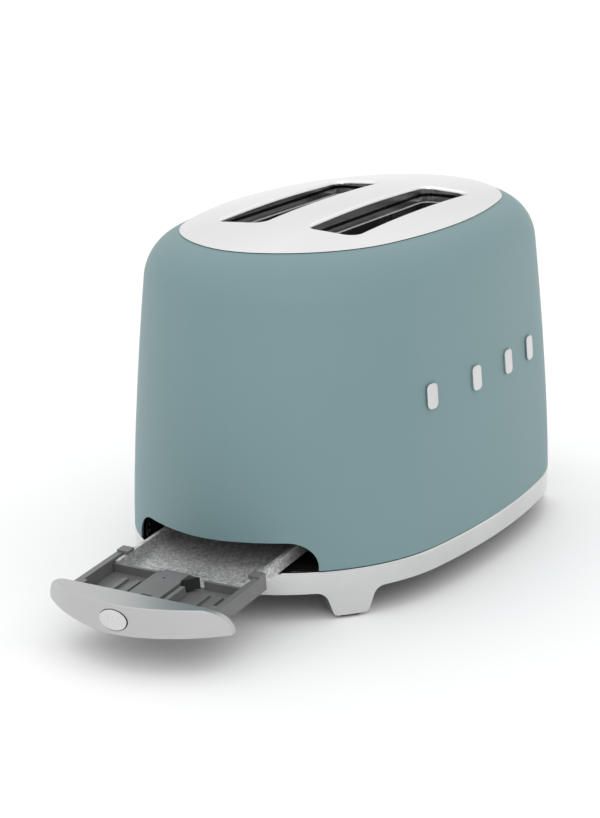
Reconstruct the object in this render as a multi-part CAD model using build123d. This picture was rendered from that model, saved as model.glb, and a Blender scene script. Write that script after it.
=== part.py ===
from build123d import *
from math import asin, atan2, cos, degrees, hypot, radians, sin, sqrt, tan
import os

# A two-slot pop-up toaster, built as it comes apart on a bench. Millimetres, +Z up, feet on z = 0.
# X runs along the body: the crumb tray draws out towards -X and the lever is at the +X end. Seen by
# someone standing at the lever end, "left" is -Y and "right" is +Y. Everything is modelled about the
# middle of the body and moved along X at the end, so that the whole object, with its tray drawn
# out, is centred on the origin.

# ---------------------------------------------------------------- driving dimensions
# Outlines are ovals of tangent arcs: half length, half width, nose, shoulder and side radius.
BASE_OVAL = (154.4, 97.5, 60.0, 104.0, 465.0)
PLATE_OVAL = (121.3, 72.6, 45.0, 75.4, 264.6)

RING_BOTTOM = 15.0
RING_TOP = 27.0
RING_WALL = 3.2
RIM_ROUND = 1.0
SHELL_BOTTOM = 27.5
SHELL_TOP = 191.4
TOTAL_HEIGHT = 198.0
PLATE_EDGE_Z = 192.4
SHELL_WALL = 1.2
SHELL_FLANGE = 4.0
LEAN_SHARE = 0.42
LEAN_POWER = 1.5
SHOULDER_START = 168.0
SHOULDER_HEIGHT = 24.0
PLATE_THICKNESS = 2.2

SLOT_PITCH = 58.0
SLOT_HALF_LENGTH = 68.4
SLOT_HALF_WIDTH = 15.0
SLOT_CORNER = 7.0
SLOT_ROLL = 1.8

LEG_MIDDLE = (119.6, 70.0)
LEG_DEPTH = 11.0
LEG_BOTTOM = 1.6

TRAY_TILT = 5.5
TRAY_DRAWN = 84.0
NOTCH_HALF_WIDTH = 56.5
NOTCH_TOP = 43.6
NOTCH_CORNER = 14.0
FASCIA_GAP = 0.6
FASCIA_DEPTH = 18.5
CARRIER_START = 19.6
DECK_END = 60.0
ARM_END = 74.0

LEVER_TRAVEL = 68.0
LEVER_Z = 158.0
LIFT_Z = 131.0
GUIDE_OPEN = 15.5
GUIDE_TRAVEL = 5.0
DIAL_Z = 47.0
DIAL_RADIUS = 14.0
DIAL_BEZEL_RADIUS = 17.0
BUTTON_RADIUS = 4.6
BUTTON_BEZEL_RADIUS = 6.2
BUTTON_PLACES = {"cancel": (0.0, 73.0), "reheat": (-33.0, 47.0), "defrost": (33.0, 47.0)}
BUTTON_TRAVEL = 1.5
PAD_TRAVEL = 2.0
PAD_HALF = (8.2, 5.4)
BADGE_X = [-66.0, -22.0, 17.0, 50.0]
BADGE_Z = 111.0

SHEET = 1.0
CLEAR = 0.4
CAGE_X = 84.0
CARD_HALF = 0.5
ROD_X = 100.0
ROD_RADIUS = 3.0
WIRE = 0.9
KNOB_RADIUS = 9.5
KNOB_REACH = 18.4
BOARD_X = 116.0
CORD_RADIUS = 3.6
COVER_SCREWS = [(x, y) for x in (-95, 95) for y in (-50, 50)]
LOW = (Align.CENTER, Align.CENTER, Align.MIN)

TILT_COS = cos(radians(TRAY_TILT))
TILT_SIN = sin(radians(TRAY_TILT))
NOSE_X = BASE_OVAL[0]
KNOB_X = NOSE_X + KNOB_REACH - KNOB_RADIUS
FASCIA_REACH = NOSE_X + TRAY_DRAWN * TILT_COS
FRAME_SHIFT = (FASCIA_REACH - (NOSE_X + KNOB_REACH)) / 2
SLOT_Y = SLOT_PITCH / 2


# ---------------------------------------------------------------- shared shapes
def box(x_range, y_range, z_range):
    """A block between two corners, given as one range for each axis."""
    size = [high - low for low, high in (x_range, y_range, z_range)]
    middle = [(high + low) / 2 for low, high in (x_range, y_range, z_range)]
    return Pos(*middle) * Box(*size)


def rod(start, axis, radius, length):
    """A round bar that starts at a point and runs along an axis."""
    plane = Plane(origin=start, z_dir=axis)
    return extrude(plane * Circle(radius), amount=length)


def rounded_prism(centre_y, half_length, half_width, corner, z_low, z_high):
    """An upright block with a rounded rectangular plan, long along X."""
    plan = RectangleRounded(2 * half_length, 2 * half_width, corner)
    return extrude(Pos(0, centre_y, z_low) * plan, amount=z_high - z_low)


def oval_at(z):
    """The body's outline at height z."""
    blend = shell_blend(z)
    return [low + (high - low) * blend for low, high in zip(BASE_OVAL, PLATE_OVAL)]


def shoulder_of(oval, inset=0.0):
    """Centre, radius and the two end turns of the shoulder arc in the +X +Y quarter of an oval."""
    half_length, half_width, nose_r, shoulder_r, side_r = (value - inset for value in oval)
    nose_x = half_length - nose_r
    side_y = half_width - side_r
    to_nose = shoulder_r - nose_r
    to_side = side_r - shoulder_r
    span = hypot(nose_x, side_y)
    along = (to_nose**2 - to_side**2 + span**2) / (2 * span)
    across = sqrt(to_nose**2 - along**2)
    x = nose_x - (along * nose_x - across * side_y) / span
    y = (along * side_y + across * nose_x) / span
    return x, y, shoulder_r, atan2(-y, nose_x - x), atan2(y - side_y, x)


def oval_wire(oval, z, inset=0.0):
    """A closed oval of eight tangent arcs: two noses, two sides and four shoulders."""
    centre_x, centre_y, radius, nose_turn, side_turn = shoulder_of(oval, inset)

    def on_shoulder(turn, sign_x, sign_y):
        x = sign_x * (centre_x + radius * cos(turn))
        y = sign_y * (centre_y + radius * sin(turn))
        return (x, y, z)

    nose = oval[0] - inset
    side = oval[1] - inset
    middle_turn = (nose_turn + side_turn) / 2
    arcs = []
    for sign_x in (1, -1):
        low, high = (on_shoulder(nose_turn, sign_x, sign_y) for sign_y in (-1, 1))
        arcs.append(Edge.make_three_point_arc(low, (sign_x * nose, 0, z), high))
        for sign_y in (1, -1):
            turns = (nose_turn, middle_turn, side_turn)
            points = [on_shoulder(turn, sign_x, sign_y) for turn in turns]
            arcs.append(Edge.make_three_point_arc(*points))
    for sign_y in (1, -1):
        start, end = (on_shoulder(side_turn, sign_x, sign_y) for sign_x in (1, -1))
        arcs.append(Edge.make_three_point_arc(start, (0, sign_y * side, z), end))
    return Wire(arcs)


def oval_prism(oval, z_low, z_high, inset=0.0):
    """An upright solid with the oval as its plan."""
    face = Face(oval_wire(oval, z_low, inset))
    return extrude(face, amount=z_high - z_low, dir=(0, 0, 1))


def rounded_oval(z_low, z_high):
    """An upright solid with the base oval as its plan and a rounded top edge."""
    body = oval_prism(BASE_OVAL, z_low, z_high - RIM_ROUND)
    turns = [radians(turn) for turn in (0, 30, 60, 90)]
    insets = [RIM_ROUND * (1 - cos(turn)) for turn in turns]
    heights = [z_high - RIM_ROUND * (1 - sin(turn)) for turn in turns]
    for step in range(len(turns) - 1):
        pair = [oval_wire(BASE_OVAL, heights[step + i], insets[step + i]) for i in (0, 1)]
        body += Solid.make_loft(pair, ruled=True)
    return body


def end_point(y, z):
    """The point of the +X end of the body at a given y and height, and its outward turn in plan."""
    centre_x, centre_y, radius, nose_turn, _ = shoulder_of(oval_at(z))
    turn = asin((abs(y) - centre_y) / radius)
    x = centre_x + radius * cos(turn)
    return Vector(x, y, z), (turn if y > 0 else -turn)


def shell_blend(z):
    """How far the outline has moved from the base oval (0) to the plate oval (1) at height z."""
    rise = max(0.0, (z - SHELL_BOTTOM) / (SHELL_TOP - SHELL_BOTTOM))
    lean = LEAN_SHARE * rise**LEAN_POWER
    reach = (SHELL_TOP - SHOULDER_START) / SHOULDER_HEIGHT
    share = (1 - LEAN_SHARE) / (1 - sqrt(1 - reach**2))
    height = max(0.0, (z - SHOULDER_START) / SHOULDER_HEIGHT)
    return lean + share * (1 - sqrt(1 - height**2))


def shell_wire(depth, z):
    """The outline at height z, moved inwards by a depth measured square to the surface."""
    narrowing = (BASE_OVAL[0] - PLATE_OVAL[0] + BASE_OVAL[1] - PLATE_OVAL[1]) / 2
    step = 0.01
    slope = (shell_blend(z) - shell_blend(z - step)) / step * narrowing
    length = hypot(1.0, slope)
    return oval_wire(oval_at(z), z - depth * slope / length, depth / length)


def shell_body(depth, z_start):
    """The body form: a leaning wall and a rounded shoulder, both lofted through evenly set ovals."""
    span = SHOULDER_START - z_start
    wall = [z_start + span * step / 5 for step in range(6)]
    turn_end = asin((SHELL_TOP - SHOULDER_START) / SHOULDER_HEIGHT)
    turns = [turn_end * step / 6 for step in range(7)]
    shoulder = [SHOULDER_START + SHOULDER_HEIGHT * sin(turn) for turn in turns]
    lower = Solid.make_loft([shell_wire(depth, z) for z in wall])
    upper = Solid.make_loft([shell_wire(depth, z) for z in shoulder])
    return lower + upper


def on_tray(shape):
    """Place a piece drawn in the tray's own frame: u out of the nose, y, and height above the pan's
    underside. The frame slopes with the guides and stands where the tray is when it is shut."""
    origin = (-NOSE_X, 0, RING_TOP + 0.3)
    plane = Plane(origin=origin, x_dir=(TILT_COS, 0, TILT_SIN), z_dir=(-TILT_SIN, 0, TILT_COS))
    return plane.location * shape


def drawn(shape):
    """Move a tray piece from shut to the drawn-out rest position, down the slope of its guides."""
    return Pos(-TRAY_DRAWN * TILT_COS, 0, -TRAY_DRAWN * TILT_SIN) * shape


# ---------------------------------------------------------------- housing
def control_places():
    """Where the three push buttons meet the +X end: name, point and outward turn in plan."""
    found = {}
    for name, (y, z) in BUTTON_PLACES.items():
        point, turn = end_point(y, z)
        found[name] = (point, 0.0 if y == 0 else turn)
    return found


def along_turn(turn):
    """The outward unit direction for a turn in plan."""
    return Vector(cos(turn), sin(turn), 0)


def notch_cut(margin=0.0):
    """The tray opening, rounded at its top corners, cut right through the -X end."""
    height = NOTCH_TOP + margin - RING_TOP
    plan = Rectangle(2 * (NOTCH_HALF_WIDTH + margin), 2 * height)
    plan = fillet(plan.vertices(), NOTCH_CORNER)
    outside = Plane(origin=(-NOSE_X - 20, 0, RING_TOP), x_dir=(0, 1, 0), z_dir=(-1, 0, 0))
    return extrude(outside * plan, amount=-60)


def outer_shell():
    shell = shell_body(0.0, SHELL_BOTTOM) - shell_body(SHELL_WALL, SHELL_BOTTOM - 2)
    shell -= oval_prism(PLATE_OVAL, SHELL_TOP - 10, TOTAL_HEIGHT, SHELL_FLANGE)
    shell -= notch_cut()
    slot_low = LEVER_Z - LEVER_TRAVEL - 8
    slot_high = LEVER_Z + 8
    shell -= box((120, 160), (-4.5, 4.5), (slot_low, slot_high))
    shell -= rod((135, 0, DIAL_Z), (1, 0, 0), DIAL_BEZEL_RADIUS + 0.1, 40)
    for point, turn in control_places().values():
        start = point - along_turn(turn) * 12
        shell -= rod(start, along_turn(turn), BUTTON_BEZEL_RADIUS + 0.1, 30)
    return shell


def dome(drop):
    """The crowned top: one arc along X carrying another along Y, lowered by a thickness."""
    rise = TOTAL_HEIGHT - PLATE_EDGE_Z
    long_r = (PLATE_OVAL[0] ** 2 + rise**2) / (2 * rise)
    cross_r = (PLATE_OVAL[1] ** 2 + rise**2) / (2 * rise)
    top = TOTAL_HEIGHT - drop
    reach = PLATE_OVAL[1] + 8
    edge = top - cross_r + sqrt(cross_r**2 - reach**2)
    floor = SHELL_TOP - 30
    arc = ThreePointArc((-reach, edge), (0, top), (reach, edge))
    sides = Polyline((reach, edge), (reach, floor), (-reach, floor), (-reach, edge))
    profile = Plane.YZ * make_face(arc + sides)
    turn = degrees(asin((PLATE_OVAL[0] + 8) / long_r))
    centre = TOTAL_HEIGHT - long_r
    axis = Axis((0, 0, centre), (0, 1, 0))
    return revolve(profile.rotate(axis, -turn), axis, 2 * turn)


def top_plate():
    """The crowned plate, made as one half with its slot and mirrored."""
    crown = dome(0.0) & oval_prism(PLATE_OVAL, SHELL_TOP, TOTAL_HEIGHT + 5)
    inside = oval_prism(PLATE_OVAL, SHELL_TOP - 5, TOTAL_HEIGHT, SHELL_FLANGE + 2)
    hollow = dome(PLATE_THICKNESS) & inside
    skirt = oval_prism(PLATE_OVAL, SHELL_TOP - 6, SHELL_TOP + 1, SHELL_FLANGE + 0.2)
    skirt -= oval_prism(PLATE_OVAL, SHELL_TOP - 7, SHELL_TOP + 2, SHELL_FLANGE + 2)
    outer = rounded_prism(-SLOT_Y, SLOT_HALF_LENGTH + SLOT_ROLL, SLOT_HALF_WIDTH + SLOT_ROLL,
                          SLOT_CORNER + SLOT_ROLL, SHELL_TOP - 4, TOTAL_HEIGHT)
    plate = crown - hollow + skirt + (outer & dome(PLATE_THICKNESS / 2))
    plate &= box((-200, 200), (-100, 0), (100, 300))
    plate -= rounded_prism(-SLOT_Y, SLOT_HALF_LENGTH, SLOT_HALF_WIDTH, SLOT_CORNER, 170, 210)
    mouth = [edge for edge in plate.edges() if edge_is_slot_mouth(edge)]
    half = fillet(mouth, SLOT_ROLL - 0.2)
    return (half + mirror(half, Plane.XZ)).fix()


def edge_is_slot_mouth(edge):
    """True for the upper edge of a bread slot, which is rolled over."""
    middle = edge.center()
    fall = TOTAL_HEIGHT - PLATE_EDGE_Z
    fall *= (middle.X / PLATE_OVAL[0]) ** 2 + (middle.Y / PLATE_OVAL[1]) ** 2
    inside = abs(middle.X) < SLOT_HALF_LENGTH + 0.5
    inside = inside and abs(abs(middle.Y) - SLOT_Y) < SLOT_HALF_WIDTH + 0.5
    return inside and middle.Z > TOTAL_HEIGHT - fall - 0.9


def leg_frame(sign_x, sign_y):
    """A plane at a leg: its z axis looks out of the body, its x axis runs along the ring."""
    centre_x, centre_y, _, _, _ = shoulder_of(BASE_OVAL)
    turn = atan2(LEG_MIDDLE[1] - centre_y, LEG_MIDDLE[0] - centre_x)
    outward = Vector(sign_x * cos(turn), sign_y * sin(turn), 0)
    origin = (sign_x * LEG_MIDDLE[0], sign_y * LEG_MIDDLE[1], 0)
    return Plane(origin=origin, x_dir=Vector(0, 0, 1).cross(outward), z_dir=outward)


def leg_face():
    """A leg seen from outside: a tapered foot that flares into the ring. x along, y up."""
    root = RING_BOTTOM + 3
    points = [(-26, root), (-26, RING_BOTTOM), (-14.5, RING_BOTTOM), (-9.5, LEG_BOTTOM)]
    outline = points + [(-x, z) for x, z in reversed(points)]
    face = make_face(Polyline(*outline, close=True))
    flare = [v for v in face.vertices() if abs(abs(v.X) - 14.5) < 0.1]
    face = fillet(flare, 7.0)
    tips = [v for v in face.vertices() if v.Y < LEG_BOTTOM + 0.1]
    return fillet(tips, 3.0)


def base_ring():
    """The polished ring that the body stands on, rounded at its top edge, with four legs."""
    outer = rounded_oval(RING_BOTTOM, RING_TOP)
    ring = outer - oval_prism(BASE_OVAL, RING_BOTTOM - 1, RING_TOP + 1, RING_WALL)
    wall = oval_prism(BASE_OVAL, 0, RING_BOTTOM + 3)
    wall -= oval_prism(BASE_OVAL, -1, RING_BOTTOM + 4, RING_WALL)
    block = oval_prism(BASE_OVAL, 0, RING_BOTTOM - 1.5)
    block -= oval_prism(BASE_OVAL, -1, RING_BOTTOM, LEG_DEPTH)
    for sign_x in (1, -1):
        for sign_y in (1, -1):
            frame = leg_frame(sign_x, sign_y)
            leg = extrude(frame * leg_face(), amount=40, both=True)
            ring += leg & wall
            ring += leg & block
            ring -= foot_pad(frame, 0.0)
    return ring


def foot_pad(frame, rounding):
    """A rubber foot: a rounded pad let into the leg, standing proud of it below."""
    middle = frame.origin - frame.z_dir * (LEG_DEPTH / 2 + 0.6)
    flat = Plane(origin=middle, x_dir=frame.x_dir, z_dir=(0, 0, 1))
    pad = extrude(flat * RectangleRounded(12.0, 6.4, 2.0), amount=LEG_BOTTOM + 2.0)
    if rounding:
        pad = fillet(pad.edges().group_by(Axis.Z)[0], rounding)
    return pad


def foot_pads():
    frames = [leg_frame(sign_x, sign_y) for sign_x in (1, -1) for sign_y in (1, -1)]
    return Compound([foot_pad(frame, 0.8) for frame in frames])


def bottom_cover():
    """Black plastic underside: a floor with vents, a rim inside the ring and four screw bosses."""
    floor_z = (RING_BOTTOM - 1.5, RING_BOTTOM + 1.0)
    cover = oval_prism(BASE_OVAL, *floor_z, LEG_DEPTH + 0.4)
    rim = oval_prism(BASE_OVAL, RING_BOTTOM, 22.4, RING_WALL + CLEAR)
    rim -= oval_prism(BASE_OVAL, RING_BOTTOM - 1, 23, RING_WALL + CLEAR + 2)
    ledge = oval_prism(BASE_OVAL, RING_BOTTOM, RING_BOTTOM + 1.0, RING_WALL + CLEAR)
    cover += rim + (ledge - oval_prism(BASE_OVAL, RING_BOTTOM - 1, 20, LEG_DEPTH + 1))
    for x, y in COVER_SCREWS:
        cover += Pos(x, y, floor_z[0]) * Cylinder(5.0, 22.4 - floor_z[0], align=LOW)
        cover -= Pos(x, y, floor_z[0] - 1) * Cylinder(1.75, 20, align=LOW)
        cover -= Pos(x, y, floor_z[0] - 1) * Cylinder(3.6, 4.7, align=LOW)
    for column in range(-5, 6):
        for y in (-22, 22):
            cover -= rounded_slot(column * 9.0, y, 1.75, 15.0, floor_z)
    return cover


def rounded_slot(x, y, half_width, half_length, z_range):
    """A round-ended hole, long along Y."""
    plan = Pos(x, y, z_range[0] - 1) * SlotOverall(2 * half_length, 2 * half_width, rotation=90)
    return extrude(plan, amount=z_range[1] - z_range[0] + 2)


def bottom_screws():
    screws = []
    for x, y in COVER_SCREWS:
        head = Pos(x, y, RING_BOTTOM + 0.2) * Cylinder(3.3, 1.9, align=LOW)
        drive = Pos(x, y, RING_BOTTOM + 0.2) * (Box(3.6, 0.8, 1.6) + Box(0.8, 3.6, 1.6))
        shank = Pos(x, y, RING_BOTTOM + 2.0) * Cylinder(1.7, 6.4, align=LOW)
        screws.append(head + shank - drive)
    return Compound(screws)


def cord_outlet():
    """The gland that the supply cord leaves through, under the +Y side of the bottom cover."""
    body = box((-50, -36), (62, 79), (6.4, RING_BOTTOM - 1.5))
    body = fillet(body.edges().filter_by(Axis.Y), 2.5)
    return body - rod((-43, 61, 10.0), (0, 1, 0), CORD_RADIUS, 20)


def chassis_base():
    """Steel floor of the works, lying on the bottom cover's rim and bosses."""
    plate = oval_prism(BASE_OVAL, 22.4, 22.4 + SHEET, RING_WALL + CLEAR)
    for x, y in COVER_SCREWS:
        plate -= Pos(x, y, 20) * Cylinder(1.75, 10, align=LOW)
    for x in (-55, 0, 55):
        for y in (-70, 70):
            plate -= rounded_slot(x, y, 4.0, 10.0, (22, 24))
    return plate


def tray_tunnel():
    """Black plastic guide: a ribbed mouth behind the opening and two sloping runners."""
    mouth = box((-NOSE_X, -104), (-56.1, 56.1), (24.4, NOTCH_TOP + 2.4))
    mouth &= oval_prism(BASE_OVAL, 24, 50, RING_WALL + CLEAR)
    hollow = box((-NOSE_X, -105.5), (-54.6, 54.6), (RING_TOP - 1.2, NOTCH_TOP + 0.9))
    tunnel = mouth - hollow
    for z in (30.0, 33.5, 37.0, 40.5):
        for side in (-1, 1):
            tunnel += box((-127, -105), sorted((side * 53.6, side * 55.0)), (z, z + 1.4))
    tunnel -= box((-110, -100), (-46.4, 46.4), (RING_TOP - 1.2, NOTCH_TOP))
    start, end = 48.0, 224.0
    for side in (-1, 1):
        floor = box((start, end), sorted((side * 34, side * 46.4)), (-1.8, -0.4))
        wall = box((start, end), sorted((side * 45.2, side * 46.8)), (-1.8, 9.0))
        lip = box((start + 30, end), sorted((side * 41.6, side * 46.4)), (8.4, 9.8))
        tunnel += on_tray(floor + wall + lip)
        for x in (-40.0, 62.0):
            top = RING_TOP + (x + NOSE_X) * tan(radians(TRAY_TILT)) - 1.2
            tunnel += box((x - 3, x + 3), sorted((side * 36, side * 46)), (22.4 + SHEET, top))
    stop = box((end - 2, end), (-46.4, 46.4), (-1.8, 4.0))
    return tunnel + on_tray(stop)


def end_plate(x, slots):
    """A steel wall of the oven cage, folded at its foot; it carries the cards and guides."""
    side = 1 if x > 0 else -1
    plate = box((x - SHEET / 2, x + SHEET / 2), (-67, 67), (22.4 + SHEET, 181))
    plate = fillet(plate.edges().filter_by(Axis.X).group_by(Axis.Z)[-1], 8.0)
    plate -= box((x - 5, x + 5), (-47.6, 47.6), (20, 50))
    for y in (-57, 57):
        foot = sorted((x - side * SHEET / 2, x + side * 10))
        plate += box(foot, (y - 8, y + 8), (22.4 + SHEET, 22.4 + 2 * SHEET))
    for y in (-SLOT_Y, SLOT_Y) if slots else ():
        low = LIFT_Z - LEVER_TRAVEL - 8
        plate -= box((x - 2, x + 2), (y - 3, y + 3), (low, LIFT_Z + 4))
    return plate


def cage_bars():
    """Four bent steel tie bars that hold the two end walls apart and carry the guides' pins."""
    bars = []
    for y in (-64, 64):
        for z in (52.0, 176.0):
            reach = CAGE_X - SHEET / 2
            bars.append(box((-reach, reach), (y - 2.5, y + 2.5), (z - SHEET / 2, z + SHEET / 2)))
    return Compound(bars)


def reflector(side):
    """A bright steel sheet outside the outer element, folded at its top and bottom."""
    y = side * 59.0
    reach = CAGE_X - SHEET / 2 - 0.3
    sheet = box((-reach, reach), sorted((y, y + side * 0.8)), (56, 172))
    for z in (56, 171.2):
        sheet += box((-reach, reach), sorted((y, y + side * 4.0)), (z, z + 0.8))
    return sheet


def slot_liner(y):
    """A black stepped chute under a bread slot, with a lip that turns in at its foot."""
    top = SHELL_TOP - 4.6
    steps = [(0.4, 8.0), (2.2, 6.0), (3.8, 4.0)]
    liner = None
    z = top
    for inset, height in steps:
        half_length = SLOT_HALF_LENGTH - inset
        half_width = SLOT_HALF_WIDTH - inset * 0.75
        ring = rounded_prism(y, half_length + 1.0, half_width + 1.0, 6.5, z - height, z)
        ledge = rounded_prism(y, half_length + 2.6, half_width + 2.4, 7.0, z - 1.0, z)
        ring = ring if liner is None else ring + ledge
        ring -= rounded_prism(y, half_length, half_width, 5.5, z - height - 1, z + 1)
        liner = ring if liner is None else liner + ring
        z -= height
    return liner


def heater_card(y):
    """A mica card that carries an element."""
    reach = CAGE_X - SHEET / 2 - 0.2
    card = box((-reach, reach), (y - CARD_HALF, y + CARD_HALF), (60, 168))
    for x in (-78, 78):
        for row in range(9):
            card -= Pos(x, y, 70 + row * 11) * Box(2, 5, 4)
    return card


def heater_ribbon(y, faces):
    """Flat resistance wire zigzagging over one or both faces of a card."""
    ribbons = []
    for face in faces:
        low, high = sorted((y + face * CARD_HALF, y + face * (CARD_HALF + 0.4)))
        ribbon = box((-74, 74), (low, high), (68.7, 71.3))
        for row in range(1, 9):
            z = 70 + row * 11
            end = 74 if row % 2 else -74
            ribbon += box((-74, 74), (low, high), (z - 1.3, z + 1.3))
            ribbon += box((end - 1.2, end + 1.2), (low, high), (z - 12.3, z + 1.3))
        ribbons.append(ribbon)
    return Compound(ribbons)


# ---------------------------------------------------------------- bread carriage
def guide_rod():
    """The polished rod that the carriage rides on, held by two bent lugs."""
    steel = Pos(ROD_X, 0, 22.4 + SHEET) * Cylinder(ROD_RADIUS, 152, align=LOW)
    return steel


def rod_brackets():
    """Bent steel lugs that hold the rod to the end wall at its foot and head."""
    lugs = []
    for z in (53.0, 171.0):
        lug = box((CAGE_X + SHEET / 2, ROD_X + 6), (-8, 8), (z, z + 1.2))
        lug += box((CAGE_X + SHEET / 2, CAGE_X + SHEET / 2 + 1.2), (-8, 8), (z - 7, z + 1.2))
        lugs.append(lug - Pos(ROD_X, 0, z - 2) * Cylinder(ROD_RADIUS, 6, align=LOW))
    return Compound(lugs)


def carriage_bracket():
    """The sliding carriage: a bush on the rod, a cross bar to both lifts and the lever arm."""
    bush = Pos(ROD_X, 0, LEVER_Z - 26) * Cylinder(5.2, 30, align=LOW)
    bush -= Pos(ROD_X, 0, LEVER_Z - 30) * Cylinder(ROD_RADIUS + 0.06, 40, align=LOW)
    bar_z = (LIFT_Z - 6, LIFT_Z + 5)
    bar = box((ROD_X - 12.5, ROD_X - 11), (-36, 36), bar_z)
    web = box((ROD_X - 12.5, ROD_X - 4.2), (-3, 3), (LIFT_Z - 3, LIFT_Z + 5))
    arm = box((ROD_X + 4.2, 149.5), (-2.0, 2.0), (LEVER_Z - 4, LEVER_Z + 4))
    stud = rod((149, 0, LEVER_Z), (1, 0, 0), 2.6, 9)
    catch = box((ROD_X + 3.6, ROD_X + 5.6), (-14, 0), (LEVER_Z - 24, LEVER_Z - 16))
    catch += box((ROD_X + 3.6, ROD_X + 14), (-18, -10), (LEVER_Z - 26, LEVER_Z - 24))
    return bush + bar + web + arm + stud + catch


def latch_armature():
    """The steel pad under the carriage that the hold-down magnet grips."""
    return box((ROD_X + 3, ROD_X + 14), (-19, -9), (LEVER_Z - 28.4, LEVER_Z - 26))


def bread_lift(y):
    """A pressed steel shelf that carries a slice, with its tongue through the end wall."""
    shelf = box((-66, 72), (y - 6.5, y + 6.5), (LIFT_Z - 1.2, LIFT_Z))
    for column in range(8):
        x = -56 + column * 16
        shelf -= rounded_slot(x, y, 4.5, 5.0, (LIFT_Z - 2, LIFT_Z + 1))
        shelf += box((x - 8.6, x - 7.4), (y - 6.5, y + 6.5), (LIFT_Z - 1.2, LIFT_Z + 2.4))
    shelf += box((-66, ROD_X - 12.5), (y - 0.7, y + 0.7), (LIFT_Z - 6, LIFT_Z))
    return shelf


def lever_knob():
    """The polished ball and its collar on the end of the lever arm."""
    ball = Pos(KNOB_X, 0, LEVER_Z) * Sphere(KNOB_RADIUS)
    neck = rod((NOSE_X - 1.2, 0, LEVER_Z), (1, 0, 0), 5.0, 6)
    knob = ball + neck
    return knob - rod((140, 0, LEVER_Z), (1, 0, 0), 2.6, 18)


def carriage_spring():
    """The return spring between the head lug and the carriage, drawn as a coil."""
    low, high = LEVER_Z + 4.7, 170.3
    coil = Edge.make_helix(pitch=2.0, height=high - low, radius=6.6)
    start = coil @ 0
    section = Plane(origin=start, z_dir=coil % 0) * Circle(0.6)
    return Pos(ROD_X, 0, low) * sweep(section, path=coil)


def bread_guide(slot_y, side):
    """A wire cage that closes on the slice: two long bars and seven uprights."""
    y = slot_y + side * GUIDE_OPEN
    bars = [rod((-82, y, z), (1, 0, 0), WIRE, 164) for z in (62.0, 164.0)]
    uprights = [rod((x * 20.0, y, 61), (0, 0, 1), WIRE, 104) for x in range(-3, 4)]
    cage = bars[0]
    for wire in bars[1:] + uprights:
        cage += wire
    return cage


# ---------------------------------------------------------------- controls
def nose_strip(inner, outer, half_width):
    """A strip up the middle of the +X end, between two depths measured out from the shell."""
    heights = [70.0 + 11.0 * step for step in range(10)]
    reach = [oval_at(z)[0] for z in heights]
    near = Spline(*[(x + inner, 0, z) for x, z in zip(reach, heights)])
    far = Spline(*[(x + outer, 0, z) for x, z in zip(reach, heights)])
    ends = Line(near @ 0, far @ 0) + Line(near @ 1, far @ 1)
    face = make_face(near + far + ends)
    return extrude(face, amount=half_width, dir=(0, 1, 0), both=True)


def lever_slot_trim():
    """The frame that lines the lever's slot, following the shell and standing a little proud."""
    low = LEVER_Z - LEVER_TRAVEL - 10
    high = LEVER_Z + 10
    frame = box((125, 160), (-6.2, 6.2), (low, high))
    frame = fillet(frame.edges().filter_by(Axis.X), 3.0)
    lining = box((125, 160), (-4.4, 4.4), (low + 2.1, high - 2.1))
    trim = frame & nose_strip(0.05, 0.9, 8.0)
    trim += lining & nose_strip(-2.4, 0.9, 8.0)
    return trim - box((120, 165), (-3.4, 3.4), (low + 3.2, high - 3.2))


def dial_bezel():
    """The ring that the browning dial turns in, with a translucent band round its rim."""
    bezel = rod((149.0, 0, DIAL_Z), (1, 0, 0), DIAL_BEZEL_RADIUS, 6.4)
    bezel -= rod((153.4, 0, DIAL_Z), (1, 0, 0), DIAL_RADIUS + CLEAR, 5)
    bezel -= rod((145, 0, DIAL_Z), (1, 0, 0), 3.6, 12)
    return bezel


def browning_dial():
    """The dial: a skirt, a grip bar across its face and a shaft into the control behind."""
    skirt = rod((153.8, 0, DIAL_Z), (1, 0, 0), DIAL_RADIUS, 5.0)
    skirt = fillet(skirt.edges().group_by(Axis.X)[-1], 1.2)
    grip = box((158.0, 165.0), (-3.0, 3.0), (DIAL_Z - 12.5, DIAL_Z + 12.5))
    grip = fillet(grip.edges().filter_by(Axis.X), 2.0)
    grip = fillet(grip.edges().group_by(Axis.X)[-1], 1.0)
    shaft = rod((BOARD_X + 3, 0, DIAL_Z), (1, 0, 0), 3.0, 154 - BOARD_X - 3)
    return skirt + grip + shaft


def browning_control():
    """The rotary control on the board that the dial's shaft turns in."""
    body = rod((BOARD_X + 1.6, 0, DIAL_Z), (1, 0, 0), 8.0, 9.0)
    neck = rod((BOARD_X + 10.6, 0, DIAL_Z), (1, 0, 0), 4.6, 6.0)
    return body + neck - rod((BOARD_X + 2.6, 0, DIAL_Z), (1, 0, 0), 3.05, 20)


def button_bezels():
    """Three polished rings that the push buttons slide in, square to the shell where they sit."""
    rings = []
    for point, turn in control_places().values():
        outward = along_turn(turn)
        ring = rod(point - outward * 4.0, outward, BUTTON_BEZEL_RADIUS, 5.2)
        rings.append(ring - rod(point - outward * 6.0, outward, BUTTON_RADIUS + CLEAR, 12))
    return Compound(rings)


def push_button(name):
    """A round push button with a domed cap and a stem towards its switch."""
    point, turn = control_places()[name]
    outward = along_turn(turn)
    cap = rod(point - outward * 3.5, outward, BUTTON_RADIUS, 6.5)
    face = cap.faces().sort_by(lambda f: f.center().dot(outward))[-1]
    cap = fillet(face.edges(), 1.0)
    return cap + rod(point - outward * 10.0, outward, 2.0, 7.0)


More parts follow.
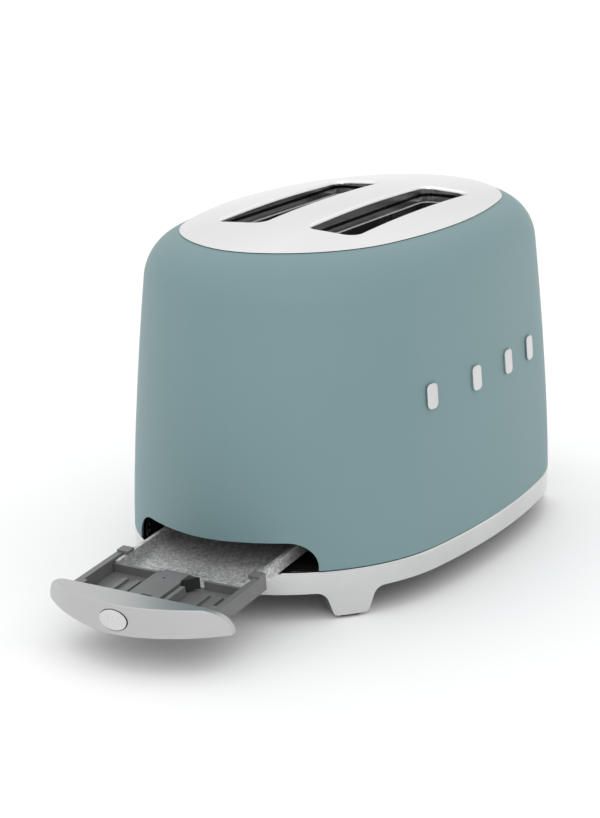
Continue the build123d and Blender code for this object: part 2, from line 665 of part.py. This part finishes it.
def button_switches():
    """Small sprung switches behind the buttons, standing off the control board."""
    switches = []
    for point, turn in control_places().values():
        outward = along_turn(turn)
        tip = point - outward * (10.0 + BUTTON_TRAVEL + 0.4)
        plane = Plane(origin=tip - outward * 4.0, z_dir=outward)
        body = extrude(plane * Rectangle(6, 6), amount=4.0)
        back = tip - outward * 4.0
        across = (back.Y - 1.5, back.Y + 1.5)
        post = box((BOARD_X + 1.6, back.X + 1.6), across, (point.Z - 1.5, point.Z + 1.5))
        switches.append(body + post)
    return Compound(switches)


def control_board():
    """The printed circuit board, standing across the lever end on two feet."""
    board = box((BOARD_X, BOARD_X + 1.6), (-46, 46), (26, 82))
    for y in (-38, 38):
        board += box((BOARD_X - 4, BOARD_X + 1.6), (y - 3, y + 3), (22.4 + SHEET, 27.4))
    return board


def board_components():
    """The relay, transformer and capacitors on the back of the board."""
    relay = box((BOARD_X - 14, BOARD_X), (16, 34), (34, 52))
    transformer = box((BOARD_X - 18, BOARD_X), (-42, -24), (32, 54))
    parts = [relay, transformer]
    for y, z in ((20, 64), (30, 64), (-30, 66)):
        parts.append(rod((BOARD_X - 12, y, z), (1, 0, 0), 3.8, 12))
    return Compound(parts)


def latch_magnet():
    """The electromagnet that holds the carriage down: an iron core in a coil, on a bracket."""
    top = LEVER_Z - 28.4 - LEVER_TRAVEL - 0.4
    core = box((ROD_X + 4, ROD_X + 13), (-18, -10), (top - 16, top))
    coil = box((ROD_X + 2.5, ROD_X + 14.5), (-19.5, -8.5), (top - 13, top - 4))
    bracket = box((ROD_X + 4, BOARD_X), (-17, -11), (top - 18, top - 16))
    return core + coil + bracket


def terminal_block():
    """Where the supply cord's conductors are clamped, on the chassis near the outlet."""
    block = box((-66, -38), (64, 74), (22.4 + SHEET, 34))
    for x in (-61, -52, -43):
        block -= Pos(x, 69, 30) * Cylinder(2.2, 6, align=LOW)
    return block


def chassis_screws():
    """Screws through the feet of the two end walls."""
    screws = []
    for x in (-CAGE_X - 5.5, CAGE_X + 5.5):
        for y in (-57, 57):
            head = Pos(x, y, 22.4 + 2 * SHEET) * Cylinder(2.8, 1.8, align=LOW)
            drive = Pos(x, y, 22.4 + 2 * SHEET + 1.4) * (Box(3.2, 0.7, 1.2) + Box(0.7, 3.2, 1.2))
            screws.append(head - drive)
    return Compound(screws)


def side_frame(x, z):
    """A plane lying on the -Y side of the shell: its z axis looks out and its x axis runs along."""
    half_width = oval_at(z)[1]
    side_r = oval_at(z)[4]
    fall = sqrt(side_r**2 - x**2)
    y = fall + half_width - side_r
    slope = oval_at(z - 1)[1] - oval_at(z + 1)[1]
    outward = Vector(x / side_r, -fall / side_r, slope / 2)
    surface = Plane(origin=(x, -y, z), x_dir=(fall, x, 0), z_dir=outward)
    return surface.offset(0.05)


def side_badge():
    """Four plain polished lozenges on the -Y side, standing proud of the shell."""
    studs = []
    for x in BADGE_X:
        stud = extrude(side_frame(x, BADGE_Z) * RectangleRounded(9.0, 14.0, 3.0), amount=1.6)
        face = stud.faces().sort_by(Axis.Y)[0]
        studs.append(fillet(face.edges(), 0.6))
    return Compound(studs)


# ---------------------------------------------------------------- crumb tray
def tray_fascia():
    """The polished handle that fills the opening: solid in the middle, a skin at its two ends.
    Its underside slopes with the guides so that it lifts clear of the ring."""
    height = NOTCH_TOP - FASCIA_GAP
    form = rounded_oval(RING_TOP - 5, height)
    outline = Rectangle(2 * (NOTCH_HALF_WIDTH - FASCIA_GAP), 2 * (height - RING_TOP))
    outline = fillet(outline.vertices(), NOTCH_CORNER - FASCIA_GAP)
    front = Plane(origin=(-NOSE_X - 20, 0, RING_TOP), x_dir=(0, 1, 0), z_dir=(-1, 0, 0))
    block = extrude(front * outline, amount=-70)
    block &= on_tray(box((-30, 70), (-60, 60), (0.0, 40)))
    solid = form & block & box((-NOSE_X - 1, -NOSE_X + FASCIA_DEPTH), (-60, 60), (20, 50))
    skin = form - oval_prism(BASE_OVAL, RING_TOP - 6, height + 3, 2.6)
    fascia = solid + (skin & block)
    fascia -= pad_shape(CLEAR, 7.0)
    return fascia - on_tray(box((4, 30), (-3.4, 3.4), (5.6, 9.6)))


def pad_shape(gap, depth):
    """The oval push pad in the middle of the handle, or the pocket that it slides in."""
    middle_z = (RING_TOP + NOTCH_TOP) / 2 - 0.4
    plane = Plane(origin=(-NOSE_X + depth, 0, middle_z), x_dir=(0, 1, 0), z_dir=(-1, 0, 0))
    return extrude(plane * Ellipse(PAD_HALF[0] + gap, PAD_HALF[1] + gap), amount=depth + 2)


def tray_push_pad():
    """The pad with a dished face, three grip ribs and a stem through the handle."""
    pad = pad_shape(0.0, 5.0)
    pad -= box((-NOSE_X - 5, -NOSE_X - 0.2), (-20, 20), (20, 50))
    middle_z = (RING_TOP + NOTCH_TOP) / 2 - 0.4
    for y in (-3.0, 0.0, 3.0):
        pad += rod((-NOSE_X, y, middle_z - 1.6), (0, 0, 1), 0.5, 3.2)
    stem = on_tray(box((5.0, 28.0), (-2.6, 2.6), (6.2, 9.0)))
    return pad + stem


def tray_latch_bar():
    """The black bar behind the pad; its wedge catches the guide when the tray is shut."""
    bar = box((26.0, DECK_END - 3.5), (-4.0, 4.0), (2.8, 6.0))
    riser = box((26.0, 28.6), (-2.6, 2.6), (2.8, 6.2))
    link = box((DECK_END - 9.5, DECK_END - 3.5), (-8.8, -3.0), (2.8, 6.0))
    tip = DECK_END - 3.5
    wedge = make_face(Polyline((tip - 7, -8.6), (tip, -8.6), (tip, -15.5), close=True))
    nose = extrude(Pos(0, 0, 2.8) * wedge, amount=6.4, dir=(0, 0, 1))
    return on_tray(bar + riser + link + nose)


def tray_frame():
    """The grey plastic carrier: a ribbed front deck, two arms and clips over the pan's sides."""
    wall = DECK_END - 1.6
    deck = box((CARRIER_START, DECK_END), (-40.4, 40.4), (0.0, 1.6))
    deck += box((CARRIER_START, 27.0), (-44.6, 44.6), (0.0, 8.4))
    deck += box((wall, DECK_END), (-40.4, -16.5), (0.0, 6.2))
    deck += box((wall, DECK_END), (9.2, 40.4), (0.0, 6.2))
    deck += box((24.0, DECK_END), (9.2, 12.0), (0.0, 7.0))
    deck += box((24.0, 48.0), (-12.0, -9.2), (0.0, 7.0))
    deck += box((24.0, DECK_END), (-8.0, 8.0), (6.4, 8.0))
    deck += box((24.0, DECK_END), (6.4, 8.0), (0.0, 8.0))
    for y in (-31.0, -23.0, 20.0, 28.0):
        deck += box((27.0, 52.0), (y - 1.3, y + 1.3), (0.0, 3.0))
    for side in (-1, 1):
        deck += box((CARRIER_START, ARM_END), sorted((side * 40.9, side * 44.6)), (0.0, 8.4))
        deck += box((ARM_END - 6, ARM_END), sorted((side * 37.6, side * 44.6)), (7.6, 9.4))
        deck += box((27.0, 33.0), sorted((side * 38.6, side * 44.6)), (0.0, 8.4))
    deck -= box((10, DECK_END + 3), (-5.0, 5.0), (2.0, 6.4))
    deck -= box((DECK_END - 12, DECK_END + 1), (-9.4, 0.0), (2.0, 6.4))
    deck -= box((10, 31), (-3.4, 3.4), (5.0, 9.8))
    deck -= Pos(51, 3.0, 5.0) * Cylinder(0.9, 5, align=LOW)
    return on_tray(deck)


def tray_pan():
    """The galvanised pan that catches the crumbs, with folded sides and a turned-down front."""
    start, end = DECK_END, 221.6
    pan = box((start, end), (-40.2, 40.2), (0.0, 1.0))
    for side in (-1, 1):
        pan += box((start, end), sorted((side * 39.4, side * 40.2)), (0.0, 7.4))
        pan += box((start, end), sorted((side * 38.2, side * 40.2)), (6.6, 7.4))
    pan += box((end - 0.8, end), (-40.2, 40.2), (0.0, 7.4))
    pan -= Pos(start + 9, 9.5, -1) * Cylinder(1.1, 4, align=LOW)
    pan -= rounded_slot(start + 12, -4, 0.9, 5.0, (0, 1))
    return on_tray(pan)


# ---------------------------------------------------------------- assembly
def all_nodes():
    """Every piece by its name, in the drawn-out rest position."""
    nodes = {
        "outer_shell": outer_shell(),
        "top_plate": top_plate(),
        "base_ring": base_ring(),
        "foot_pads": foot_pads(),
        "bottom_cover": bottom_cover(),
        "bottom_screws": bottom_screws(),
        "cord_outlet": cord_outlet(),
        "chassis_base": chassis_base(),
        "chassis_screws": chassis_screws(),
        "tray_tunnel": tray_tunnel(),
        "end_plate_tray_side": end_plate(-CAGE_X, False),
        "end_plate_lever_side": end_plate(CAGE_X, True),
        "cage_tie_bars": cage_bars(),
        "guide_rod": guide_rod(),
        "rod_brackets": rod_brackets(),
        "carriage_bracket": carriage_bracket(),
        "latch_armature": latch_armature(),
        "latch_magnet": latch_magnet(),
        "lever_knob": lever_knob(),
        "lever_slot_trim": lever_slot_trim(),
        "carriage_spring": carriage_spring(),
        "control_board": control_board(),
        "board_components": board_components(),
        "browning_control": browning_control(),
        "browning_dial": browning_dial(),
        "dial_bezel": dial_bezel(),
        "button_bezels": button_bezels(),
        "button_switches": button_switches(),
        "terminal_block": terminal_block(),
        "side_badge": side_badge(),
        "heater_card_centre": heater_card(0.0),
        "heater_ribbon_centre": heater_ribbon(0.0, (-1, 1)),
        "tray_fascia": drawn(tray_fascia()),
        "tray_frame": drawn(tray_frame()),
        "tray_pan": drawn(tray_pan()),
        "tray_push_pad": drawn(tray_push_pad()),
        "tray_latch_bar": drawn(tray_latch_bar()),
    }
    for side, name in ((-1, "left"), (1, "right")):
        nodes["reflector_" + name] = reflector(side)
        nodes["heater_card_" + name] = heater_card(side * 54.0)
        nodes["heater_ribbon_" + name] = heater_ribbon(side * 54.0, (-side,))
        nodes["slot_liner_" + name] = slot_liner(side * SLOT_Y)
        nodes["bread_lift_" + name] = bread_lift(side * SLOT_Y)
        nodes["bread_guide_" + name + "_outer"] = bread_guide(side * SLOT_Y, side)
        nodes["bread_guide_" + name + "_inner"] = bread_guide(side * SLOT_Y, -side)
    for name in BUTTON_PLACES:
        nodes["button_" + name] = push_button(name)
    return nodes


os.makedirs("parts", exist_ok=True)
for node_name, node_shape in all_nodes().items():
    placed = [Pos(FRAME_SHIFT, 0, 0) * solid for solid in node_shape.solids()]
    export_step(Compound(placed), "parts/" + node_name + ".step")
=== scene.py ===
import math

import bpy
from mathutils import Matrix, Vector


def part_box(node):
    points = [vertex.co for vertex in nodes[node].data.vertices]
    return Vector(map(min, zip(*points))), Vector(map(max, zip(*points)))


# A two-slot pop-up toaster with its crumb tray drawn out. Metres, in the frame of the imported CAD.
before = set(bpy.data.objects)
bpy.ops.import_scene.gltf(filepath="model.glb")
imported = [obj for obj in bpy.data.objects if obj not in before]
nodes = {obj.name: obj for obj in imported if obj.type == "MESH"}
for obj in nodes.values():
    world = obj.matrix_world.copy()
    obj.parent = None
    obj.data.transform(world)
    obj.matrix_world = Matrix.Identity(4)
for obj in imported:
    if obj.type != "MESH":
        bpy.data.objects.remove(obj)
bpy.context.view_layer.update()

TEAL = (0.162, 0.262, 0.274)
# The part of a noise's range that carries a finish from its low to its high colour.
TONE_SPAN = (0.3, 0.7)
SPANGLE_SHARE = 0.55
COAT_ROUGHNESS = 0.35
# The camera's focal length, principal point and long side, all in image points.
FOCAL_LENGTH = 2215.774
CENTRE_OFFSET = (-27.573, -10.367)
LONG_SIDE = 818.0
SENSOR_WIDTH = 36.0
# How far the guide rod stands from the middle of the body, in metres.
ROD_FROM_MIDDLE = 0.1


# ---------------------------------------------------------------- materials
def new_material(name):
    """A material with its shader, and a helper that adds a node and sets its inputs."""
    made = bpy.data.materials.new(name)
    made.use_nodes = True
    tree = made.node_tree
    shader = tree.nodes["Principled BSDF"]

    def add(kind, **inputs):
        node = tree.nodes.new(kind)
        for key, value in inputs.items():
            node.inputs[key.replace("_", " ")].default_value = value
        return node

    return made, tree, shader, add


def grain_coordinates(tree, add, stretch):
    """Object coordinates, squeezed so that a noise runs in streaks."""
    source = add("ShaderNodeTexCoord")
    mapping = add("ShaderNodeMapping", Scale=stretch)
    tree.links.new(source.outputs["Object"], mapping.inputs["Vector"])
    return mapping.outputs["Vector"]


def surface(name, low, high, scale, rough, bump, metallic=0.0, stretch=(1, 1, 1), coat=0.0,
            spangle=0.0):
    """A finish whose colour runs from low to high over a noise, whose roughness varies within
    rough, and whose bump is a finer noise: bump is (scale, strength, distance in metres). A
    spangle, given as a number of cells to the metre, breaks the colour into flakes."""
    made, tree, shader, add = new_material(name)
    where = grain_coordinates(tree, add, stretch)
    broad = add("ShaderNodeTexNoise", Scale=scale, Detail=4.0, Roughness=0.55)
    tree.links.new(where, broad.inputs["Vector"])
    tone = broad.outputs["Fac"]
    if spangle:
        cells = add("ShaderNodeTexVoronoi", Scale=spangle)
        cells.feature = "F1"
        tree.links.new(where, cells.inputs["Vector"])
        split = add("ShaderNodeSeparateColor")
        tree.links.new(cells.outputs["Color"], split.inputs["Color"])
        blend = add("ShaderNodeMath")
        blend.operation = "MULTIPLY_ADD"
        blend.inputs[1].default_value = SPANGLE_SHARE
        tree.links.new(split.outputs["Red"], blend.inputs[0])
        half = add("ShaderNodeMath")
        half.operation = "MULTIPLY"
        half.inputs[1].default_value = 1.0 - SPANGLE_SHARE
        tree.links.new(tone, half.inputs[0])
        tree.links.new(half.outputs["Value"], blend.inputs[2])
        tone = blend.outputs["Value"]
    ramp = add("ShaderNodeValToRGB")
    for stop, place, colour in zip(ramp.color_ramp.elements, TONE_SPAN, (low, high)):
        stop.position = place
        stop.color = (*colour, 1.0)
    tree.links.new(tone, ramp.inputs["Fac"])
    tree.links.new(ramp.outputs["Color"], shader.inputs["Base Color"])
    gloss = add("ShaderNodeMapRange", From_Min=TONE_SPAN[0], From_Max=TONE_SPAN[1],
                To_Min=rough[0], To_Max=rough[1])
    tree.links.new(tone, gloss.inputs["Value"])
    tree.links.new(gloss.outputs["Result"], shader.inputs["Roughness"])
    fine = add("ShaderNodeTexNoise", Scale=bump[0], Detail=2.0)
    tree.links.new(where, fine.inputs["Vector"])
    relief = add("ShaderNodeBump", Strength=bump[1], Distance=bump[2])
    tree.links.new(fine.outputs["Fac"], relief.inputs["Height"])
    tree.links.new(relief.outputs["Normal"], shader.inputs["Normal"])
    shader.inputs["Metallic"].default_value = metallic
    if coat:
        shader.inputs["Coat Weight"].default_value = coat
        shader.inputs["Coat Roughness"].default_value = COAT_ROUGHNESS
    return made


def banded(made, bands, colour):
    """Paint bands of a colour over a finish, between pairs of heights in metres."""
    tree = made.node_tree
    shader = tree.nodes["Principled BSDF"]
    source = tree.nodes.new("ShaderNodeTexCoord")
    split = tree.nodes.new("ShaderNodeSeparateXYZ")
    tree.links.new(source.outputs["Object"], split.inputs["Vector"])
    for low, high in bands:
        near = tree.nodes.new("ShaderNodeMath")
        near.operation = "COMPARE"
        near.inputs[1].default_value = (low + high) / 2
        near.inputs[2].default_value = (high - low) / 2
        tree.links.new(split.outputs["Z"], near.inputs[0])
        mix = tree.nodes.new("ShaderNodeMix")
        mix.data_type = "RGBA"
        below, above, mixed = mix.inputs[6], mix.inputs[7], mix.outputs[2]
        base = shader.inputs["Base Color"].links[0].from_socket
        tree.links.new(near.outputs["Value"], mix.inputs["Factor"])
        tree.links.new(base, below)
        above.default_value = (*colour, 1.0)
        tree.links.new(mixed, shader.inputs["Base Color"])


def shade(value, share=1.0):
    """A grey, or a colour scaled by a share."""
    if isinstance(value, tuple):
        return tuple(channel * share for channel in value)
    return (value * share,) * 3


paint = surface("matt_teal_paint", shade(TEAL, 0.97), shade(TEAL, 1.03), 9.0, (0.46, 0.54),
                (1400.0, 0.05, 0.0002))
chrome = surface("polished_steel", shade(0.6), shade(0.66), 30.0, (0.06, 0.11),
                 (300.0, 0.01, 0.0002), 1.0)
plate_metal = surface("satin_plate", shade(0.8), shade(0.86), 14.0, (0.2, 0.27),
                      (420.0, 0.03, 0.0002), 1.0, (0.06, 1, 1))
# A dark band painted round the lower edge of the top plate: painted shade standing in for the
# shadow in the gap between plate and shell.
banded(plate_metal, ((0.19, 0.1918),), shade(0.03))
handle_metal = surface("satin_handle", shade(0.47), shade(0.53), 20.0, (0.34, 0.42),
                       (520.0, 0.04, 0.0002), 1.0, (1, 0.06, 1))
rubber = surface("rubber", shade(0.02), shade(0.03), 60.0, (0.75, 0.88), (900.0, 0.2, 0.0002))
black_plastic = surface("black_plastic", shade(0.012), shade(0.02), 40.0, (0.42, 0.56),
                        (1100.0, 0.15, 0.0002))
grey_plastic = surface("grey_plastic", shade(0.12), shade(0.16), 35.0, (0.3, 0.4),
                       (1200.0, 0.12, 0.0002))
screw_steel = surface("plated_steel", shade(0.6), shade(0.7), 80.0, (0.2, 0.32),
                      (700.0, 0.05, 0.0001), 1.0)
sheet_steel = surface("sheet_steel", shade(0.56), shade(0.68), 24.0, (0.3, 0.42),
                      (500.0, 0.05, 0.0002), 1.0, (1, 1, 0.2))
galvanised = surface("galvanised_steel", shade(0.44), shade(0.72), 300.0, (0.4, 0.55),
                     (900.0, 0.08, 0.0002), 0.6, (1, 1, 1), 0.0, 900.0)
black_steel = surface("black_enamelled_steel", shade(0.012), shade(0.022), 50.0, (0.22, 0.34),
                      (600.0, 0.06, 0.0002), 0.0, (1, 1, 1), 0.3)
# Light bands painted on the black slot liners at set heights: painted highlights on the steps and
# rims, two bright bands and one faint one.
banded(black_steel, ((0.1774, 0.179), (0.1862, 0.187)), shade(0.75))
banded(black_steel, ((0.1712, 0.1722),), shade(0.2))
mica = surface("mica_card", (0.42, 0.38, 0.29), (0.56, 0.52, 0.42), 90.0, (0.45, 0.65),
               (700.0, 0.15, 0.0002), 0.0, (1, 1, 1), 0.0, 420.0)
ribbon = surface("resistance_ribbon", (0.2, 0.18, 0.17), (0.3, 0.27, 0.25), 120.0, (0.35, 0.5),
                 (900.0, 0.1, 0.0001), 1.0)
wire = surface("plated_wire", shade(0.55), shade(0.66), 70.0, (0.24, 0.36),
               (800.0, 0.05, 0.0001), 1.0)
copper = surface("enamelled_copper", (0.35, 0.14, 0.06), (0.48, 0.2, 0.08), 90.0, (0.25, 0.4),
                 (1500.0, 0.3, 0.0002), 0.6, (1, 1, 8))
board = surface("circuit_board", (0.02, 0.09, 0.04), (0.03, 0.13, 0.055), 60.0, (0.35, 0.5),
                (900.0, 0.1, 0.0001), 0.0, (1, 1, 1), 0.2)

FINISH = {
    "outer_shell": paint,
    "top_plate": plate_metal,
    "base_ring": chrome,
    "lever_knob": chrome,
    "lever_slot_trim": chrome,
    "dial_bezel": chrome,
    "button_bezels": chrome,
    "browning_dial": handle_metal,
    "side_badge": chrome,
    "tray_fascia": handle_metal,
    "tray_push_pad": chrome,
    "button_cancel": handle_metal,
    "button_reheat": handle_metal,
    "button_defrost": handle_metal,
    "foot_pads": rubber,
    "bottom_cover": black_plastic,
    "cord_outlet": black_plastic,
    "tray_tunnel": black_plastic,
    "tray_latch_bar": black_plastic,
    "terminal_block": black_plastic,
    "browning_control": black_plastic,
    "button_switches": black_plastic,
    "board_components": black_plastic,
    "bottom_screws": screw_steel,
    "chassis_screws": screw_steel,
    "guide_rod": screw_steel,
    "carriage_spring": screw_steel,
    "tray_frame": grey_plastic,
    "tray_pan": galvanised,
    "control_board": board,
    "latch_magnet": copper,
    "slot_liner": black_steel,
    "heater_card": mica,
    "heater_ribbon": ribbon,
    "bread_guide": wire,
}
for name, thing in nodes.items():
    family = [finish for key, finish in FINISH.items() if name.startswith(key)]
    finish = family[0] if family else sheet_steel
    if not thing.material_slots:
        thing.data.materials.append(finish)
    for slot in thing.material_slots:
        slot.material = finish


# ---------------------------------------------------------------- studio
def link(data, name, place):
    """Put an object into the scene at a place."""
    thing = bpy.data.objects.new(name, data)
    bpy.context.scene.collection.objects.link(thing)
    thing.matrix_world = place
    return thing


def looking(position, target):
    """A placement at a position with its -Z axis towards a target."""
    turn = (Vector(target) - Vector(position)).to_track_quat("-Z", "Y")
    return Matrix.Translation(position) @ turn.to_matrix().to_4x4()


def softbox(name, position, target, size, power):
    """A soft rectangular light."""
    lamp = bpy.data.lights.new(name, "AREA")
    lamp.shape = "RECTANGLE"
    lamp.size, lamp.size_y = size
    lamp.energy = power
    return link(lamp, name, looking(position, target))


floor_mesh = bpy.data.meshes.new("floor")
reach = 14.0
corners = [(-reach, -reach, 0), (reach, -reach, 0), (reach, reach, 0), (-reach, reach, 0)]
floor_mesh.from_pydata(corners, [], [(0, 1, 2, 3)])
floor = link(floor_mesh, "floor", Matrix.Translation((0, 0, -0.0002)))
floor_mesh.materials.append(surface("pale_floor", shade(0.93), shade(0.95), 3.0, (0.6, 0.7),
                                    (60.0, 0.02, 0.0005)))

world = bpy.data.worlds.new("studio")
bpy.context.scene.world = world
world.use_nodes = True
sky = world.node_tree
background = sky.nodes["Background"]
direction = sky.nodes.new("ShaderNodeTexCoord")
parts = sky.nodes.new("ShaderNodeSeparateXYZ")
ramp = sky.nodes.new("ShaderNodeValToRGB")
ramp.color_ramp.interpolation = "EASE"
ramp.color_ramp.elements[0].color = (0.95, 0.95, 0.95, 1)
for place, level in ((0.08, 0.85), (0.2, 0.76), (0.4, 0.86), (0.6, 1.0)):
    stop = ramp.color_ramp.elements.new(place)
    stop.color = (level, level, level, 1)
sky.links.new(direction.outputs["Generated"], parts.inputs["Vector"])
sky.links.new(parts.outputs["Z"], ramp.inputs["Fac"])
sky.links.new(ramp.outputs["Color"], background.inputs["Color"])
background.inputs["Strength"].default_value = 1.13

middle = (0.02, 0.0, 0.09)
softbox("top_light", (0.1, 0.1, 1.5), middle, (1.4, 1.0), 1.5)
softbox("front_light", (-1.3, -1.1, 0.9), middle, (0.9, 0.9), 2.5)

# ---------------------------------------------------------------- camera
rod_low, rod_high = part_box("guide_rod")
body_x = (rod_low[0] + rod_high[0]) / 2 - ROD_FROM_MIDDLE
azimuth, elevation, roll = (math.radians(angle) for angle in (210.287, 15.994, -0.728))
distance, aside, above, height = 1.280425, -0.011805, -0.018142, 0.1
back = Vector((math.cos(elevation) * math.cos(azimuth), math.cos(elevation) * math.sin(azimuth),
               math.sin(elevation)))
right = Vector((-math.sin(azimuth), math.cos(azimuth), 0.0))
up = back.cross(right)
aim = right * aside + up * above + Vector((body_x, 0.0, height))
turned_right = right * math.cos(roll) + up * math.sin(roll)
turned_up = up * math.cos(roll) - right * math.sin(roll)
placing = Matrix((turned_right, turned_up, back)).transposed().to_4x4()
eye = bpy.data.cameras.new("camera")
eye.sensor_width = SENSOR_WIDTH
eye.lens = FOCAL_LENGTH * SENSOR_WIDTH / LONG_SIDE
eye.shift_x, eye.shift_y = (offset / LONG_SIDE for offset in CENTRE_OFFSET)
eye.clip_end = 60.0
camera = link(eye, "camera", Matrix.Translation(aim + back * distance) @ placing)
bpy.context.scene.camera = camera
bpy.context.scene.view_settings.view_transform = "Standard"
